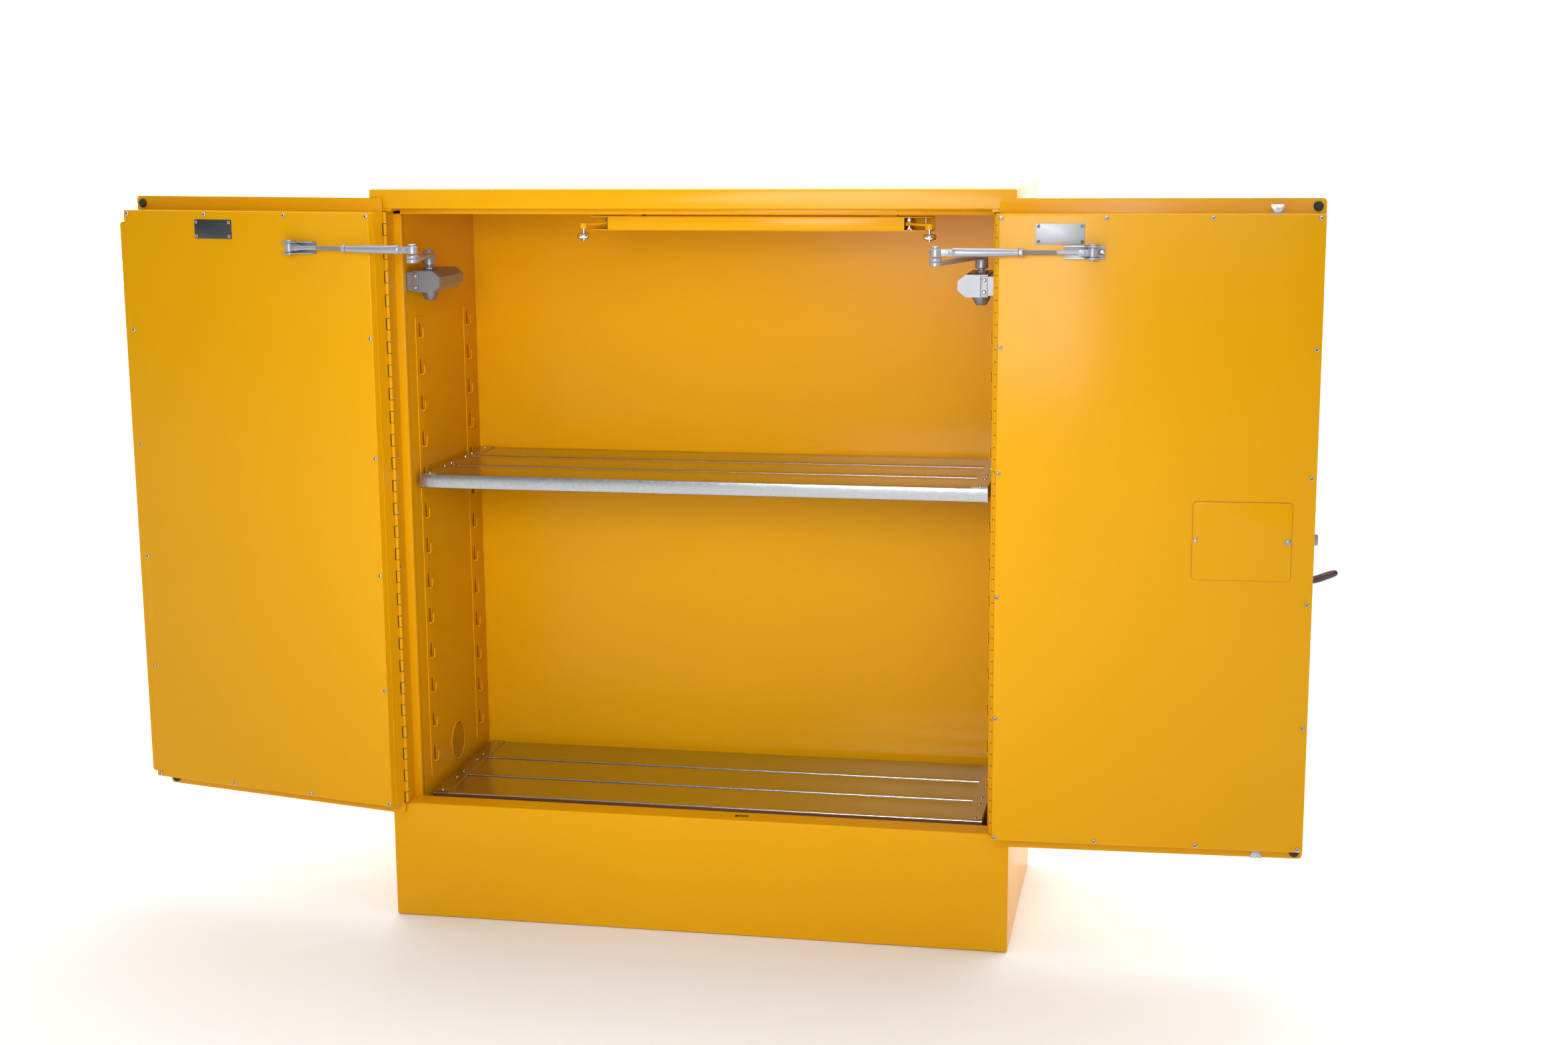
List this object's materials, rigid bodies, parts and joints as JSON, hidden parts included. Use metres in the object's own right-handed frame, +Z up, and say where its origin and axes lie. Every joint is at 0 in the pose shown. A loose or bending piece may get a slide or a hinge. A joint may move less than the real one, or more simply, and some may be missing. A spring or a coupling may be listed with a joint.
{
  "type": "flammable storage cabinet",
  "caption": "Double-walled yellow flammable liquids cabinet with self-closing doors held open, an adjustable shelf, a sump grate and overhead closer arms.",
  "frame": {"origin": "middle of the underside of the cabinet body, where it stands on the floor", "axes": "+X to the cabinet's right seen from the front, +Y to the back, +Z up"},
  "size_m": [2.1083, 0.5605, 1.29],
  "materials": {
    "yellow_paint": "glossy safety yellow powder coat with fine orange peel",
    "zinc_plate": "bright zinc plate",
    "galvanised": "galvanised sheet with a soft spangle",
    "silver_paint": "satin silver-grey enamel",
    "bright_steel": "polished steel",
    "brass_cap": "yellow painted screwed cap and tube",
    "bumper_rubber": "matte black rubber",
    "dark_plate": "dark anodised blank plate, worn",
    "brushed_plate": "fine horizontal brush, blank",
    "grey_lock": "satin grey die-cast",
    "dark_handle": "glossy dark brown-black lever"
  },
  "bodies": {
    "cabinet": {"base_floor": "yellow_paint", "base_front": "yellow_paint", "side_panel_left": "yellow_paint", "side_panel_right": "yellow_paint", "back_panel": "yellow_paint", "top_panel": "yellow_paint", "liner_left": "yellow_paint", "liner_right": "yellow_paint", "liner_back": "yellow_paint", "liner_ceiling": "yellow_paint", "sump_tray": "yellow_paint", "top_rail": "yellow_paint", "sill": "yellow_paint", "jamb_left": "yellow_paint", "jamb_right": "yellow_paint", "hinge_leaf_left": "yellow_paint", "hinge_leaf_right": "yellow_paint", "hinge_screws": "zinc_plate", "hinge_pins": "zinc_plate", "wall_hooks_left": "yellow_paint", "wall_hooks_right": "yellow_paint", "flash_arrestors": "bright_steel", "vent_tubes": "brass_cap", "closer_body_left": "silver_paint", "closer_body_right": "silver_paint", "coordinator_bar": "yellow_paint"},
    "left_door": {"door_skin_left": "yellow_paint", "door_pan_left": "yellow_paint", "door_leaf_left": "yellow_paint", "door_screws_left": "zinc_plate", "door_bumpers_left": "bumper_rubber", "blank_plate_left": "dark_plate", "closer_shoe_left": "silver_paint", "centre_seal": "yellow_paint"},
    "right_door": {"door_skin_right": "yellow_paint", "door_pan_right": "yellow_paint", "door_leaf_right": "yellow_paint", "door_screws_right": "zinc_plate", "door_bumpers_right": "bumper_rubber", "blank_plate_right": "brushed_plate", "closer_shoe_right": "silver_paint", "lock_cover": "yellow_paint", "lock_plate": "grey_lock"},
    "handle": {"door_handle": "dark_handle"},
    "top_bolt": {"latch_bolt_top": "zinc_plate"},
    "bottom_bolt": {"latch_bolt_bottom": "zinc_plate"},
    "left_arm": {"main_arm_left": "silver_paint"},
    "right_arm": {"main_arm_right": "silver_paint"},
    "left_forearm": {"forearm_left": "silver_paint"},
    "right_forearm": {"forearm_right": "silver_paint"},
    "left_finger": {"coordinator_arm_left": "yellow_paint"},
    "right_finger": {"coordinator_arm_right": "yellow_paint"},
    "left_roller": {"coordinator_roller_left": "bright_steel"},
    "right_roller": {"coordinator_roller_right": "bright_steel"},
    "shelf": {"shelf_slats": "galvanised", "shelf_ends": "galvanised"},
    "grate": {"grate_slats": "galvanised", "grate_ends": "galvanised"},
    "left_vent_cap": {"vent_cap_left": "brass_cap"},
    "right_vent_cap": {"vent_cap_right": "brass_cap"}
  },
  "joints": [
    {"name": "left_door_swing", "type": "hinge", "parent": "cabinet", "child": "left_door", "pos_m": [-0.518, -0.237, 0.73], "axis": [0, 0, 1], "range_deg": [0, 192]},
    {"name": "right_door_swing", "type": "hinge", "parent": "cabinet", "child": "right_door", "pos_m": [0.518, -0.237, 0.73], "axis": [0, 0, -1], "range_deg": [0, 182.5]},
    {"name": "left_arm_turn", "type": "hinge", "parent": "cabinet", "child": "left_arm", "pos_m": [-0.482, -0.125, 1.17], "axis": [0, 0, 1], "range_deg": [0, 149.65]},
    {"name": "right_arm_turn", "type": "hinge", "parent": "cabinet", "child": "right_arm", "pos_m": [0.482, -0.125, 1.17], "axis": [0, 0, -1], "range_deg": [0, 146.16]},
    {"name": "left_forearm_turn", "type": "hinge", "parent": "left_door", "child": "left_forearm", "pos_m": [-0.67957, -0.26604, 1.1935], "axis": [0, 0, -1], "range_deg": [0, 76.61]},
    {"name": "right_forearm_turn", "type": "hinge", "parent": "right_door", "child": "right_forearm", "pos_m": [0.67256, -0.29231, 1.1935], "axis": [0, 0, 1], "range_deg": [0, 74.01]},
    {"name": "left_finger_turn", "type": "hinge", "parent": "cabinet", "child": "left_finger", "pos_m": [-0.15, -0.15, 1.231], "axis": [0, 0, -1], "range_deg": [0, 47.17]},
    {"name": "right_finger_turn", "type": "hinge", "parent": "cabinet", "child": "right_finger", "pos_m": [0.364, -0.15, 1.231], "axis": [0, 0, 1], "range_deg": [0, 31.25]},
    {"name": "left_roller_spin", "type": "hinge", "parent": "left_finger", "child": "left_roller", "pos_m": [-0.18, -0.2, 1.208], "axis": [0, 0, 1], "continuous": true},
    {"name": "right_roller_spin", "type": "hinge", "parent": "right_finger", "child": "right_roller", "pos_m": [0.404, -0.2, 1.208], "axis": [0, 0, 1], "continuous": true},
    {"name": "handle_turn", "type": "hinge", "parent": "right_door", "child": "handle", "pos_m": [0.95271, -0.198, 0.735], "axis": [0.0436, -0.999, 0], "range_deg": [0, 55]},
    {"name": "top_bolt_slide", "type": "slide", "parent": "right_door", "child": "top_bolt", "axis": [0, 0, -1], "range_m": [0, 0.0121]},
    {"name": "bottom_bolt_slide", "type": "slide", "parent": "right_door", "child": "bottom_bolt", "axis": [0, 0, 1], "range_m": [0, 0.0121]},
    {"name": "shelf_lift", "type": "slide", "parent": "cabinet", "child": "shelf", "axis": [0, 0, 1], "range_m": [0, 0.03]},
    {"name": "grate_lift", "type": "slide", "parent": "cabinet", "child": "grate", "axis": [0, 0, 1], "range_m": [0, 0.3]},
    {"name": "left_vent_cap_turn", "type": "hinge", "parent": "cabinet", "child": "left_vent_cap", "pos_m": [-0.55, 0.01, 0.258], "axis": [-1, 0, 0], "continuous": true},
    {"name": "right_vent_cap_turn", "type": "hinge", "parent": "cabinet", "child": "right_vent_cap", "pos_m": [0.55, 0.01, 1.01], "axis": [1, 0, 0], "continuous": true}
  ],
  "couplings": [
    {"joint": "left_arm_turn", "follows": "left_door_swing", "ratio": 0.77937},
    {"joint": "left_forearm_turn", "follows": "left_door_swing", "ratio": 0.39897},
    {"joint": "left_finger_turn", "follows": "left_door_swing", "ratio": 0.24563},
    {"joint": "right_arm_turn", "follows": "right_door_swing", "ratio": 0.80084},
    {"joint": "right_forearm_turn", "follows": "right_door_swing", "ratio": 0.40547},
    {"joint": "right_finger_turn", "follows": "right_door_swing", "ratio": 0.1712},
    {"joint": "top_bolt_slide", "follows": "handle_turn", "m_per_rad": 0.012501},
    {"joint": "bottom_bolt_slide", "follows": "handle_turn", "m_per_rad": 0.012501}
  ]
}
